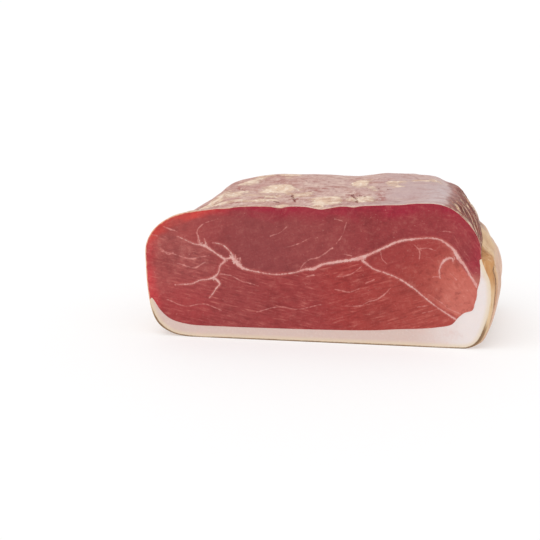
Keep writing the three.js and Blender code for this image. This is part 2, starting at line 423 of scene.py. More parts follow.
def ramped(value, low, high, atLow=0.0, atHigh=1.0):  # a soft step, downwards where low is above high
    made = place("MapRange", {"Value": value, "From Min": low, "From Max": high, "To Min": atLow,
                              "To Max": atHigh}, interpolation_type="SMOOTHSTEP")
    return made.outputs["Result"]


def blended(factor, a, b, mode="MIX"):
    return place("Mix", {0: factor, 6: a, 7: b}, data_type="RGBA", blend_type=mode).outputs[2]


def between(value, low, high, atLow, atHigh):  # from one colour given as 0 to 255 to another, as a value rises
    return blended(ramped(value, low, high), linear(*atLow), linear(*atHigh))


# Colours laid over one another: each layer is a colour, given or made, and the masks and numbers whose
# product says how strongly it covers
def painted(color, *layers):
    for over, *masks in layers:
        color = blended(times(*masks), color, linear(*over) if isinstance(over, tuple) else over)
    return color


def parts(vector):
    return place("SeparateXYZ", {0: vector}).outputs


def stored(name, output="Fac"):
    return place("Attribute", attribute_name=name).outputs[output]


# A drawn line's distance less its half width, from its signed distance, so that thin lines stay whole
def lineDistance(name):
    side, width, plain = parts(stored(name, "Vector"))
    thin = maths("SUBTRACT", maths("ABSOLUTE", side), width)
    return maths("ADD", thin, ramped(plain, 0.9, 1.8, 0.0, nowhere))


def newGroup(name, output, inputs):  # a node group with inputs given as names and kinds, and one output
    tree = work["tree"] = bpy.data.node_groups.new(name, "ShaderNodeTree")
    for key, kind in inputs.items():
        tree.interface.new_socket(key, in_out="INPUT", socket_type="NodeSocket" + kind)
    tree.interface.new_socket(output, in_out="OUTPUT", socket_type="NodeSocketFloat")
    return tree, tree.nodes.new("NodeGroupInput").outputs, tree.nodes.new("NodeGroupOutput").inputs[output]


# Shared effect: noise of a given size in millimetres, drawn out along an axis where its stretch is under 1
def makeGrainGroup():
    tree, given, out = newGroup("grain", "Value", {
        "Vector": "Vector", "Stretch": "Vector", "Size": "Float", "Detail": "Float", "Roughness": "Float",
        "Bend": "Float"})
    scaled = place("VectorMath", {0: given["Vector"], 1: given["Stretch"]}, operation="MULTIPLY").outputs[0]
    noise = place("TexNoise", {
        "Vector": scaled, "Scale": maths("DIVIDE", 1000.0, given["Size"]), "Detail": given["Detail"],
        "Roughness": given["Roughness"], "Distortion": given["Bend"]})
    tree.links.new(noise.outputs["Fac"], out)
    return tree


# Shared effect: 1 inside a stored distance and 0 outside, with an edge that a noise moves to and fro
def makeEdgeGroup():
    names = ("Distance", "Noise", "Wobble", "Softness")
    tree, given, out = newGroup("wobblyEdge", "Mask", dict.fromkeys(names, "Float"))
    distance, noise, wobble, softness = (given[name] for name in names)
    moved = maths("ADD", distance, maths("MULTIPLY", maths("SUBTRACT", noise, 0.5), wobble))
    tree.links.new(ramped(moved, softness, maths("MULTIPLY", softness, -1.0)), out)
    return tree


grainGroup = makeGrainGroup()
edgeGroup = makeEdgeGroup()


def grain(vector, size, stretch=(1.0, 1.0, 1.0), detail=3.0, roughness=0.5, bend=0.0):
    return place("Group", {"Vector": vector, "Size": size, "Stretch": stretch, "Detail": detail,
                           "Roughness": roughness, "Bend": bend}, node_tree=grainGroup).outputs["Value"]


def edged(distance, noise, wobble, softness):
    return place("Group", {"Distance": distance, "Noise": noise, "Wobble": wobble, "Softness": softness},
                 node_tree=edgeGroup).outputs["Mask"]


def newMaterial(name, shaderValues):
    material = bpy.data.materials.new(name)
    material.use_nodes = True
    work["tree"] = material.node_tree
    shader = material.node_tree.nodes["Principled BSDF"]
    for key, value in shaderValues.items():
        shader.inputs[key].default_value = value
    return material, shader


def finishMaterial(shader, color, roughness, height, bumpDistance):
    bump = place("Bump", {"Height": height, "Distance": bumpDistance * millimetre, "Strength": 1.0})
    for key, value in (("Base Color", color), ("Roughness", roughness), ("Normal", bump.outputs["Normal"])):
        work["tree"].links.new(value, shader.inputs[key])


# The cut lean: muscles of different reds with seams of fat between them, all as x, z on the cut
cutLook = {
    # seams as x, z and half width
    "seams": {
        "upperLeft": [
            (-96.5, 71.5, 0.15), (-84.5, 66.5, 0.35), (-80, 66, 0.55), (-76.5, 65, 0.9), (-69, 60, 0.6),
            (-64, 57, 0.75)],
        "long": [(-59, 58, 0.8), (-56, 56, 1.4), (-53.5, 52.5, 1.3), (-49, 50, 0.75), (-44, 49, 0.4),
                 (-28.5, 47, 0.3), (-14, 49, 0.45), (-6.5, 51.5, 0.7), (-1, 52, 1.0), (4.5, 55, 0.85),
                 (24, 59, 0.9), (30.5, 60.5, 1.4), (37.5, 63.5, 0.8), (50.5, 70, 0.7), (57, 73, 0.8),
                 (64.5, 74.5, 0.6), (79, 76, 0.45), (85, 75, 0.5), (90, 72, 0.7), (94.5, 68, 1.0),
                 (97.5, 63, 1.4), (101.5, 58, 0.9), (106, 50.5, 0.7), (110, 44.5, 0.9)],
        "down": [(-64, 57, 0.8), (-63, 55.5, 0.7), (-66.5, 52, 0.45), (-68, 46.5, 0.4), (-71, 43.5, 0.9),
                 (-74.5, 42, 0.5), (-81, 41, 0.35), (-86, 38.5, 0.4), (-93, 37.5, 0.3), (-98.5, 37, 0.15)],
        "branch": [(-71, 43.5, 0.8), (-69.5, 42, 0.85), (-67, 39, 0.7), (-69, 36, 0.4), (-74, 29, 0.25)],
        "link": [(-64, 57, 0.6), (-60.5, 57, 0.5), (-59, 58, 0.6)],
        # the splayed ends beside the thick part
        "splayA": [(-56.5, 55, 0.7), (-57.5, 58, 0.45), (-59, 60.5, 0.15)],
        "splayB": [(-54.5, 53.5, 0.7), (-55.2, 56.5, 0.45), (-56, 59.5, 0.12)],
        "splayC": [(-52.5, 52, 0.6), (-52.6, 54.5, 0.4), (-52.5, 57.5, 0.12)],
        "splayD": [(-80, 66, 0.5), (-81, 68, 0.35), (-82, 72, 0.15)],
        "splayE": [(-77, 65, 0.6), (-76.5, 67.2, 0.35), (-77.5, 70, 0.1)],
        "spur": [(-71.5, 67.8, 0.1), (-66, 67, 0.25), (-62, 64.5, 0.35), (-58, 60, 0.5)],
        "lowerRight": [
            (33, 58.5, 0.8), (40, 53.5, 0.45), (47.5, 51, 0.4), (56, 48, 0.4), (63, 44, 0.5), (69, 40, 0.5),
            (75, 35, 0.4), (84.5, 28, 0.35), (91.5, 23.5, 0.45), (96.5, 20.5, 0.7)],
        "hook": [(85, 49.5, 0.3), (85, 55, 0.45), (87, 59.5, 0.9), (90.5, 62.5, 0.85), (93.5, 62.5, 0.4),
                 (94, 60, 0.2)],
    },
    # thinner and fainter ones
    "threads": [
        [(-11, 50, 0.3), (-8, 55, 0.35), (-3.5, 58.5, 0.45), (2, 60, 0.7), (6, 62.5, 0.5), (11, 66.5, 0.7)],
        [(15, 71, 0.3), (18.5, 76, 0.15), (21, 84, 0.45)], [(14, 87, 0.3), (18, 86, 0.3)],
        [(20, 63, 0.3), (24.5, 62, 0.35)], [(-5, 46.5, 0.55), (-1, 47.5, 0.4)],
        [(15, 47, 0.15), (21.5, 48, 0.4), (26, 50, 0.3), (31.5, 54.5, 0.15)],
        [(14.5, 38, 0.3), (20, 37, 0.5), (24, 36.5, 0.35), (31, 39.5, 0.15)],
        [(20, 26.5, 0.15), (32.5, 27.5, 0.3), (37.5, 30.5, 0.15)],
        [(-31, 74, 0.15), (-24.5, 76.5, 0.3), (-20.5, 80, 0.35)],
        [(-21, 66, 0.15), (-12, 69, 0.25), (-3.5, 73.5, 0.1)],
        [(78, 37, 0.1), (86, 32, 0.3), (92, 27.5, 0.3), (99.5, 24.5, 0.5)],
        [(67.5, 71, 0.2), (70.5, 68.5, 0.4), (76, 69, 0.35), (82.5, 67.5, 0.15)],
        [(70.5, 68.5, 0.35), (71.5, 65.5, 0.4), (71, 60.5, 0.1)],
        [(45, 64.5, 0.35), (46, 60.5, 0.2), (49, 57.5, 0.1)], [(81, 49.5, 0.3), (85, 49.5, 0.3)],
        [(93, 51.5, 0.3), (96, 48.5, 0.3)], [(84.5, 81, 0.3), (89, 81, 0.2), (95, 80.5, 0.1)],
        [(33, 28, 0.2), (37.5, 30.5, 0.35), (42.5, 32, 0.7), (48, 36, 0.4), (51.5, 40, 0.15)],
        [(35.5, 43.5, 0.3), (40, 45.5, 0.4)], [(71, 28, 0.2), (77, 29, 0.3)],
        [(74.5, 24, 0.2), (80, 25.5, 0.3)],
        [(-107.5, 60.5, 0.4), (-100, 59, 0.25), (-91, 56.5, 0.35), (-86.5, 56, 0.45), (-80, 57.5, 0.4),
         (-74.5, 58.8, 0.1)],
        [(-96.2, 52.4, 0.3), (-90, 50.5, 0.45), (-85, 49.5, 0.65), (-81, 51.5, 0.5), (-77.5, 53.8, 0.25)],
        [(-106, 78, 0.3), (-102.5, 76.6, 0.6), (-98, 75.4, 0.5)],
        [(-116.5, 73, 0.4), (-114, 72, 0.6), (-111.5, 71.4, 0.4)],
        [(-108, 62, 0.25), (-103.5, 58.5, 0.5), (-100, 60, 0.25)],
        [(-66, 46, 0.25), (-58.7, 44.9, 0.4), (-52, 41.5, 0.3), (-46.6, 40.3, 0.4), (-40, 38.5, 0.2)],
        [(-82, 66.5, 0.25), (-82.2, 71, 0.4), (-82.7, 75.5, 0.5), (-78.6, 80.6, 0.35), (-68.5, 84.5, 0.15)],
        [(-104, 26, 0.2), (-92, 22, 0.4), (-78, 24, 0.3), (-66, 20, 0.15)],
        [(-40, 20, 0.15), (-26, 24, 0.35), (-12, 23, 0.3), (4, 27, 0.15)],
    ],
    # each muscle: x, z, reach, colour given as 0 to 255, how strongly its fibres show in each lie, how
    # mottled it is
    "muscles": {
        "upper": [
            (-106, 66, 11, (163, 80, 78), (0.2, 0.3, 0), 0.6),
            (-94, 76, 13, (165, 74, 71), (0.3, 0.2, 0), 0.5),
            (-74, 78, 15, (156, 66, 66), (0.3, 0, 0), 0.4),
            (-40, 72, 26, (142, 62, 63), (0.15, 0, 0), 0.35),
            (0, 74, 26, (149, 64, 64), (0.2, 0.1, 0), 0.5), (42, 80, 22, (149, 55, 57), (0.2, 0.2, 0), 0.6),
            (76, 88, 18, (150, 53, 57), (0.1, 0.3, 0), 0.5),
            (101, 78, 14, (158, 62, 64), (0, 0.2, 0.5), 0.5),
            (111, 62, 10, (160, 61, 68), (0, 0, 0.8), 0.5), (111, 46, 4, (182, 108, 96), (0, 0, 0), 0.8)],
        "lower": [
            (-108, 50, 12, (172, 79, 76), (0.1, 0.5, 0), 0.8),
            (-92, 52, 16, (161, 80, 77), (0.4, 0.8, 0), 0.8),
            (-92, 26, 18, (165, 62, 63), (0, 0.7, 0), 0.5),
            (-55, 36, 20, (153, 62, 62), (0.1, 0.9, 0), 0.4),
            (-15, 38, 22, (156, 58, 58), (0.3, 0.8, 0), 0.4),
            (25, 42, 18, (161, 56, 53), (0.95, 0.1, 0), 0.5),
            (52, 30, 18, (164, 64, 58), (0.9, 0.1, 0), 0.5), (78, 22, 15, (171, 72, 64), (0.8, 0, 0), 0.5)],
        "right": [
            (50, 63, 14, (157, 58, 56), (0.3, 0, 0), 0.4), (76, 67, 14, (158, 56, 54), (0.3, 0.1, 0), 0.6),
            (72, 46, 14, (165, 66, 59), (0.2, 0.2, 0), 0.7),
            (92, 52, 14, (193, 97, 84), (0, 0.1, 0.3), 1.0),
            (96, 34, 13, (200, 109, 96), (0, 0.1, 0.3), 1.0)],
    },
    "lies": (17.0, -11.0, -55.0),  # degrees from level
    "unevenness": 0.2,
    "seamDepth": 0.12,
    "bandWidths": ([-118, -102, -84, -60, -30], [12, 10, 7, 8, 13]),  # under the crust: at each x, how wide
    "bandTones": ((209, 68, 60), (159, 29, 54), (208, 62, 68)),  # at the left, further right, and lower left
}


# What each spot of the cut has: its colour, its three fibre strengths and its mottling. In each region it is
# a mean over the muscles there, each counting as a bell around its place, and the seams divide the regions
def muscleFields(spots, toCrust):
    spots = warped(spots, 12.0, 2.2, 71)
    x, z = spots[:, 0], spots[:, 1]
    dividing = np.array(cutLook["seams"]["upperLeft"] + cutLook["seams"]["long"])
    lowerRight = np.array(cutLook["seams"]["lowerRight"])
    above = smooth(-1, 1, z - np.interp(x, dividing[:, 0], dividing[:, 1]))
    beyond = smooth(-1, 1, z - np.interp(x, lowerRight[:, 0], lowerRight[:, 1])) * smooth(30, 35, x)
    shares = {"upper": above, "right": (1 - above) * beyond, "lower": (1 - above) * (1 - beyond)}
    total = np.zeros((len(spots), 7))
    for region, share in shares.items():
        weight, values = 0, 0
        for placeX, placeZ, reach, eye, fibres, mottle in cutLook["muscles"][region]:
            bell = np.exp(-((x - placeX) ** 2 + (z - placeZ) ** 2) / reach ** 2) + 1e-5
            weight = weight + bell
            values = values + bell[:, None] * np.array([*linear(*eye)[:3], *fibres, mottle])
        total += share[:, None] * values / weight[:, None]
    left, right, lowLeft = (np.array(linear(*eye)[:3]) for eye in cutLook["bandTones"])
    bandTone = mixed(left, right, smooth(-88, -50, x)[:, None])
    bandTone = mixed(bandTone, lowLeft, (smooth(72, 60, z) * smooth(-90, -104, x))[:, None])
    band = toCrust + 2.5 * layeredNoise(spots * [0.4, 1], 7.0, 73)
    band = smooth(np.interp(x, *cutLook["bandWidths"]), 1.0, band)
    strength = mixed(1, 0.75, smooth(0.3, -0.3, layeredNoise(spots, 16.0, 74)))
    strength = strength * mixed(0.9, 0.5, smooth(86, 106, x))
    total[:, :3] = mixed(total[:, :3], bandTone, (strength * band)[:, None])
    return total[:, :3], total[:, 3:6], total[:, 6]


# The cut: stored reds with blotches, fibres in three lies, flecks, threads, seams and a pale rim
def leanCutMaterial():
    material, shader = newMaterial("cutLean", {
        "Subsurface Weight": 0.08, "Subsurface Radius": (0.004, 0.0012, 0.001), "Subsurface Scale": 0.5,
        "Specular IOR Level": 0.2})
    spot = place("TexCoord").outputs["Object"]
    across = parts(spot)[0]
    fine = grain(spot, 1.5, detail=4.0, roughness=0.7)
    blotches = grain(spot, 5.0, detail=5.0, roughness=0.68, bend=0.4)
    broad = grain(spot, 22.0, roughness=0.6)
    wobble = grain(spot, 2.6, roughness=0.6)
    ragged = grain(spot, 1.3, stretch=(1.0, 1.0, 0.7), detail=4.0, roughness=0.7)
    color, mottle = stored("tone", "Vector"), stored("mottle")
    deep = blended(1.0, color, linear(205, 186, 190), "MULTIPLY")
    pale = blended(0.5, color, linear(224, 152, 138))
    color = painted(
        color,
        (deep, ramped(broad, 0.5, 0.3), 0.4),
        (deep, ramped(blotches, 0.5, 0.3), mottle, 0.8),
        (pale, ramped(blotches, 0.5, 0.72), mottle, 0.5),
        (pale, ramped(fine, 0.5, 0.74), 0.25))
    fibres = 0.0
    for degrees, strength in zip(cutLook["lies"], parts(stored("fibres", "Vector"))):
        turned = place("Mapping", {"Vector": spot, "Rotation": (0.0, math.radians(degrees), 0.0)}).outputs[0]
        lie = grain(turned, 1.5, stretch=(0.13, 1.0, 1.0), detail=4.0, roughness=0.6, bend=0.25)
        lifted = times(ramped(lie, 0.54, 0.74), strength)
        color = painted(color, (deep, ramped(lie, 0.5, 0.34), strength, 0.62), ((220, 134, 122), lifted, 0.5))
        fibres = maths("ADD", lifted, fibres)
    flecks = ramped(grain(spot, 1.7, detail=1.0), 0.72, 0.79)
    seam = lineDistance("seam")
    seamMask = edged(maths("ADD", seam, 0.08), ragged, 2.4, 0.4)
    thread = edged(maths("ADD", lineDistance("thread"), 0.16), wobble, 1.8, 0.5)
    rim = maths("SUBTRACT", stored("toCrust"), ramped(across, -0.085, -0.1, 0.0, 0.6))
    color = painted(
        color,
        ((224, 160, 148), flecks, mottle, 0.45),
        ((217, 144, 136), thread, ramped(blotches, 0.32, 0.56, 0.25, 0.85)),
        ((200, 112, 104), ramped(seam, -0.2, 2.0, 0.34, 0.0)),
        (between(blotches, 0.35, 0.65, (218, 150, 144), (230, 186, 178)), seamMask, 0.85),
        (between(across, 0.03, -0.05, (206, 128, 112), (240, 196, 160)), edged(rim, wobble, 1.6, 0.4), 0.75))
    height = summed((seamMask, 0.5), (fine, 0.4), (fibres, 0.35), (blotches, 0.5))
    finishMaterial(shader, color, ramped(blotches, 0.3, 0.7, 0.4, 0.54), height, 0.25)
    return material


# The dry crust: dusty mauve, partly painted sheen, with cream patches of dried fat, cracks, wrinkles and a
# dark right shoulder
crustLook = {
    # cream patches as x, y, half length, half width, turn in degrees
    "patches": [
        (-80, -46, 25, 5.5, 71), (-92, -73, 12, 2.5, 0), (-65, -31, 8, 10, 0), (-46, -40, 12, 3.4, 0),
        (-35, -22, 13, 11, 0), (-61, 10, 7, 13, 0), (-56, 22, 5, 5, 0), (-34, 24, 6, 6, 0),
        (-14, -40, 6, 7, 0), (5, -61, 9, 14, 0), (27, -54, 10, 8, 0), (23, -4, 8, 13, 0),
        (50, -5, 5, 7, 10), (32, -21, 3, 6, 0), (77, 22, 4, 4, 0), (-26, -72, 6, 3, 0),
        (102, -71, 4, 2.6, -40)],
    # reddish stains, likewise
    "stains": [
        (-67, -7, 3.5, 10, 0), (-58, -57, 15, 5.5, 0), (-37, 6, 6, 9, 0), (-19, -50, 4, 13, 0),
        (-88, -52, 5, 12, 0), (20, -46, 6, 10, 0), (40, -36, 5, 4, 0), (36, -58, 9, 4, 0),
        (-5, -30, 8, 3, 0), (-76, 2, 5, 9, 0)],
    # red cracks as x, y and half width
    "cracks": [
        [(21, -41, 0.2), (24, -50, 0.5), (27, -64, 0.3)], [(26, -41, 0.3), (31, -47, 0.2)],
        [(34, -58, 0.3), (39, -57.5, 0.45), (46, -58, 0.1)],
        [(-23, -35, 0.2), (-20, -45, 0.6), (-17, -59, 0.4)], [(-31, -58, 0.4), (-27, -62, 0.4)],
        [(-66, -14, 0.4), (-60, -16, 0.2)], [(33, -20, 0.2), (47, -28, 0.3)]],
    # dips in the upper edge of the cut as x, half width and depth
    "notches": [(4, 8, 2.0), (-25, 5, 1.1), (26, 4, 0.8), (-62, 5, 0.5), (58, 6, 0.4)],
    # lifts and dips as x, y, reach along each and height
    "lifts": [(-17, 36, 17, 17, 1.8), (83, 28, 7, 28, -2.6), (93, 24, 6, 18, 1.2), (106, 25, 9, 14, -1.0),
              (-86, -42, 9, 16, -0.6)],
    "streakLie": (0.6, -0.8),  # how the shoulder's streaks run: round the outline and towards the cut
    # off the top: how steep the edges are, and above which noise they lie
    "otherPatches": (34, 0.52),
    "otherStains": (30, 0.5),
    "apart": 14,  # how far the drawn marks are put off where the others are, and the other way round
    "calmEnds": 0.02,  # the share of a row at each end that has no relief
    "undulation": 0.7,
    "patchHeight": 0.45,
    "wrinkleDepth": 0.55,
    "crackDepth": 0.8,
}


def dipped(x, z, depthShare):  # how far the notches lower the upper edge
    total = 0
    for notchX, width, depth in crustLook["notches"]:
        total = total + depth * bell((x - notchX) / width)
    return total * depthShare * smooth(60, 80, z)


# The crust's marks at each point, how its streaks run, and how far all of it raises the surface
def crustFields(p, arc, depth):
    x, y, z = np.moveaxis(p, -1, 0)
    moved = warped(p, 11.0, 3.2, 200)
    # cream and stains are drawn on the top, and elsewhere they are where a noise is high
    high, apart = smooth(66, 84, z), crustLook["apart"]
    onTop = high * smooth(60, 44, y)
    drawn = ellipseField(moved[..., :2], crustLook["patches"]) + 2.4 * layeredNoise(p, 6.0, 205)
    steep, level = crustLook["otherPatches"]
    wild = steep * (level - layeredNoise(p * [0.8, 1, 1.2], 27.0, 210))
    cream = np.minimum(drawn + apart * (1 - onTop), wild + apart * onTop)
    stain = ellipseField(moved[..., :2], crustLook["stains"]) + 2.4 * layeredNoise(p, 5.0, 215)
    steep, level = crustLook["otherStains"]
    wild = steep * (level - layeredNoise(p, 21.0, 220))
    stain = np.minimum(stain + apart * (1 - onTop), wild + apart * onTop)
    crack = lineField(warped(p, 5.0, 0.8, 230)[..., :2].reshape(-1, 2), crustLook["cracks"])[:, 2]
    crack = crack.reshape(onTop.shape) + nowhere * (1 - onTop)
    wrinkle = wrinkles(warped(p * [0.55, 1, 1], 20.0, 6.0, 240), 21.0, 0.07, 250)
    wrinkle = wrinkle * smooth(-0.2, 0.3, layeredNoise(p, 40.0, 260, 2)) * smooth(3, 0, -cream)
    wrinkle = wrinkle * mixed(1, 0.3, smooth(40, 60, y))
    # dark on the right shoulder, down the left side and in parts of the back
    side = x + 0.1 * (99 - z) + 1.5 * layeredNoise(p, 8.0, 270) + 4 * smooth(-20, 20, y)
    dark = smooth(86, 90, side) * smooth(75, 30, y) * mixed(0.6, 1.0, smooth(90, 99, side))
    dark = np.maximum(dark, 0.55 * smooth(-98, -116, x))
    dark = np.maximum(dark, 0.3 * smooth(0.0, 0.6, layeredNoise(p, 48.0, 280)) * (1 - onTop))
    along, across = crustLook["streakLie"]
    flow = np.stack([along * arc + across * depth, along * depth - across * arc, 0 * arc], -1)
    streak = layeredNoise(flow * [0.1, 1, 1], 3.0, 290, 2)
    film = smooth(-0.1, 0.5, layeredNoise(p * [0.5, 1, 1], 14.0, 300))
    # calm crust with a greyer painted sheen on the right of the top, and the rind's tan low on the far end
    calmSheen = smooth(20, 54, x + 8 * layeredNoise(p, 26.0, 330)) * smooth(94, 84, x)
    calmSheen = calmSheen * high * mixed(1, 0.4, smooth(-20, 60, y))
    tanTop = 24 + 27 * smooth(5, 55, x) + 8 * smooth(-22, -52, x) + 3 * layeredNoise(p, 12.0, 340)
    tan = smooth(2.5, -2.5, z - tanTop) * smooth(50, 60, y)
    hidden = np.maximum(smooth(25, 60, y), smooth(80, 60, z))
    height = crustLook["undulation"] * mixed(0.4, 1.5, hidden) * layeredNoise(p, 23.0, 310)
    height = height + 0.2 * layeredNoise(p * [0.6, 1, 1], 5.0, 320)
    height = height + crustLook["patchHeight"] * smooth(1.4, -1.4, cream) + 0.35 * dark * streak
    height = height - crustLook["wrinkleDepth"] * wrinkle - crustLook["crackDepth"] * smooth(0.8, -0.2, crack)
    for liftX, liftY, reachX, reachY, lift in crustLook["lifts"]:
        height = height + lift * np.exp(-((x - liftX) / reachX) ** 2 - ((y - liftY) / reachY) ** 2)
    marks = {"cream": cream, "stain": stain, "crack": crack, "wrinkle": wrinkle, "dark": dark, "film": film,
             "calmSheen": calmSheen, "tan": tan}
    return marks, flow, height


# The crust: mauve with painted sheen, dark parts, wrinkles, stains, torn cream patches, cracks and the far
# end's tan
def crustMaterial():
    material, shader = newMaterial("dryCrust", {"Specular IOR Level": 0.1})
    spot = place("TexCoord").outputs["Object"]
    across = parts(spot)[0]
    broad = grain(spot, 22.0, detail=5.0, roughness=0.62)
    middle = grain(spot, 6.0, stretch=(1.0, 0.7, 1.0), detail=5.0, roughness=0.68, bend=0.5)
    patchy = grain(spot, 9.0, stretch=(0.5, 1.0, 1.0), detail=6.0, roughness=0.72, bend=0.8)
    drawn = grain(spot, 5.0, stretch=(0.3, 1.0, 1.0), detail=5.0, roughness=0.62, bend=0.3)
    fine = grain(spot, 2.4, stretch=(1.0, 0.5, 1.0), detail=4.0, roughness=0.65)
    flow = stored("flow", "Vector")
    strings = grain(flow, 2.4, stretch=(0.1, 1.0, 1.0), detail=5.0, roughness=0.64, bend=0.6)
    calmSheen, dark, cream = stored("calmSheen"), stored("dark"), stored("cream")
    lively = ramped(calmSheen, 0.0, 1.0, 1.0, 0.4)
    greySheen = times(calmSheen, ramped(across, 0.062, 0.08), ramped(broad, 0.3, 0.6, 0.3, 1.0))
    streaky = ramped(dark, 0.55, 0.85)
    stringMask = times(ramped(strings, 0.52, 0.58), ramped(patchy, 0.38, 0.52), streaky)
    wrinkle = times(stored("wrinkle"), ramped(fine, 0.3, 0.6, 0.5, 1.0))
    stain = times(edged(stored("stain"), patchy, 30.0, 2.5), ramped(fine, 0.62, 0.42))
    outer = edged(cream, patchy, 30.0, 1.9)
    torn = summed((patchy, 0.5), (drawn, 0.5))
    inner = times(edged(maths("ADD", cream, 0.4), torn, 52.0, 0.8), ramped(drawn, 0.36, 0.5, 0.2, 1.0))
    crack = edged(stored("crack"), fine, 7.0, 0.5)
    color = painted(
        # the pale mauve ground is partly the crust's own colour and partly painted sheen
        between(broad, 0.38, 0.62, (195, 158, 152), (208, 174, 164)),
        ((194, 148, 138), ramped(across, -0.005, -0.04), 0.8),
        # painted sheen: a greyer cast over the calm zone on the right of the top, and a paler painted
        # highlight next to the shoulder
        ((192, 166, 165), calmSheen, 0.8),
        ((208, 197, 198), greySheen, 0.5),
        ((220, 196, 182), stored("film"), ramped(patchy, 0.4, 0.6), lively, 0.5),
        ((168, 112, 100), ramped(drawn, 0.5, 0.4), lively, 0.65),
        ((228, 204, 188), ramped(drawn, 0.55, 0.66), lively, 0.45),
        ((176, 128, 122), ramped(middle, 0.5, 0.32), lively, 0.5),
        ((156, 102, 96), ramped(fine, 0.48, 0.3), lively, 0.5),
        ((234, 214, 202), ramped(fine, 0.52, 0.7), lively, 0.4),
        (between(middle, 0.35, 0.62, (104, 44, 38), (158, 92, 82)), dark),
        ((128, 74, 62), ramped(fine, 0.5, 0.36), dark, 0.5),
        ((92, 32, 28), ramped(strings, 0.47, 0.36), streaky, 0.5),
        (between(fine, 0.35, 0.65, (206, 158, 122), (242, 212, 182)), stringMask, 0.95),
        ((134, 78, 74), wrinkle, 0.5),
        ((166, 104, 98), stain, 0.7),
        ((214, 179, 158), outer, 0.7),
        ((168, 112, 88), outer, ramped(drawn, 0.5, 0.34), 0.7),
        (between(middle, 0.38, 0.62, (222, 190, 164), (240, 218, 196)), inner, 0.9),
        # painted highlights: the whitest flecks within the cream patches
        ((250, 240, 228), inner, ramped(fine, 0.52, 0.66), 0.6),
        ((132, 50, 44), crack, 0.8),
        (between(middle, 0.36, 0.64, (200, 150, 116), (222, 182, 156)), stored("tan")),
        ((236, 204, 178), ramped(stored("behind"), 3.0, 0.6), ramped(fine, 0.36, 0.5), 0.6))
    bumps = ((middle, 1.0), (fine, 0.5), (inner, 0.3), (crack, -0.6), (wrinkle, -0.3), (stringMask, 0.4))
    finishMaterial(shader, color, ramped(middle, 0.3, 0.7, 0.46, 0.62), summed(*bumps), 0.8)
    return material


# The lean: a grid over the cut, rings of crust and hidden boundary up to the fat's end, then of crust alone,
# and a pole; with the values that its looks read
def buildLean():
    u, share = evenly(mesh["cutColumns"]), evenly(mesh["hiddenColumns"])
    v = evenly(mesh["cutRows"])[:, None, None]
    top = onLine(outline, mixed(block["otherBorder"], outline["total"], u))
    top[:, 1] -= dipped(top[:, 0], top[:, 1], 1.0)
    bottom = onLine(leanLine, (1 - u) * leanLine["total"])
    flat = mixed(bottom[None], top[None], v)
    spots = flat.reshape(-1, 2)
    seam = lineField(spots, cutLook["seams"].values())
    thread = lineField(spots, cutLook["threads"])
    dense = np.linspace(0, len(top) - 1, 4 * len(top))
    edge = np.stack([np.interp(dense, np.arange(len(top)), top[:, k]) for k in (0, 1)], -1)
    toCrust = nearest(spots, edge)[1]
    tone, fibres, mottle = muscleFields(spots, toCrust)
    still = smooth(0, 0.012, np.minimum(v, 1 - v)[..., 0] * np.minimum(u, 1 - u)[None])
    relief = cutLook["unevenness"] * layeredNoise(flat, 22.0, 11)
    relief = relief - cutLook["seamDepth"] * smooth(1.2, 0, seam[:, 2]).reshape(still.shape)
    cut = np.stack([flat[..., 0], block["cutY"] + still * relief, flat[..., 1]], -1)

    y, scale, far = depthRows(block["fatStopAngle"])
    start = block["fatStopAngle"] + block["fatStopGap"][1]
    tip = stations(np.array([]), np.append(start, farAngles(start, 89.4)))
    allY, allScale, allFar = (np.vstack(pair) for pair in zip((y, scale, far), tip))
    crustArc = mixed(otherBorder(allY), outline["total"] + flankBorder(allY), u[None])
    crust, _, low = skin(crustArc, allY, allScale, allFar)
    behind = allY - block["cutY"] + np.zeros_like(low)
    marks, flow, height = crustFields(crust, crustArc, allY)
    height = height * low * smooth(0, 5, behind)
    crust = raised(crust, height * betweenEnds(u, crustLook["calmEnds"]))
    crust[..., 2] -= dipped(crust[..., 0], crust[..., 2], smooth(6, 0, behind))
    under = underFat(share[None], y, scale, far)
    bareArc = fatArc(share[None], tip[0])
    bare = skin(bareArc, *tip)[0]
    bareMarks, bareFlow, _ = crustFields(bare, bareArc, tip[0])
    rings = np.concatenate([crust, np.vstack([under, bare])], axis=1)
    pole = skin(np.zeros((1, 1)), *stations(np.array([]), np.array([90.0])))[0].reshape(1, 3)

    face, around, ringAt = stitched(cut, rings, u, share)
    points = np.vstack([cut.reshape(-1, 3), rings.reshape(-1, 3), pole])
    last = ringAt[-1]
    end = np.stack([last[:-1], last[1:], np.full(len(last) - 1, len(points) - 1)], -1)
    triangles = np.vstack([face, around, end])
    faceMaterial = np.arange(len(triangles)) >= len(face)

    def everywhere(onCut, onCrust, onBare=0.0):  # one value a point: the cut, then the rings, then the pole
        hidden = np.zeros((len(rings), len(share)))
        hidden[len(y):] = onBare
        ringValues = np.hstack([onCrust + np.zeros_like(low), hidden]).ravel()
        return np.concatenate([onCut + np.zeros(len(spots)), ringValues, ringValues[-1:]])

    values = {"toCrust": everywhere(toCrust, 0.0), "mottle": everywhere(mottle, 0.5),
              "behind": everywhere(0.0, behind, 99.0)}
    for key, mark in marks.items():  # the first three are distances, which the cut must not pull down to 0
        values[key] = everywhere(nowhere if key in ("cream", "stain", "crack") else 0.0, mark, bareMarks[key])
    for key, onCut in (("tone", tone), ("fibres", fibres), ("seam", seam), ("thread", thread)):
        values[key] = np.stack([everywhere(onCut[:, k], 0.2) for k in range(3)], -1)
    flows = [everywhere(0.0, flow[..., k], bareFlow[..., k]) for k in range(3)]
    values["flow"] = millimetre * np.stack(flows, -1)
    return points, triangles, faceMaterial, values


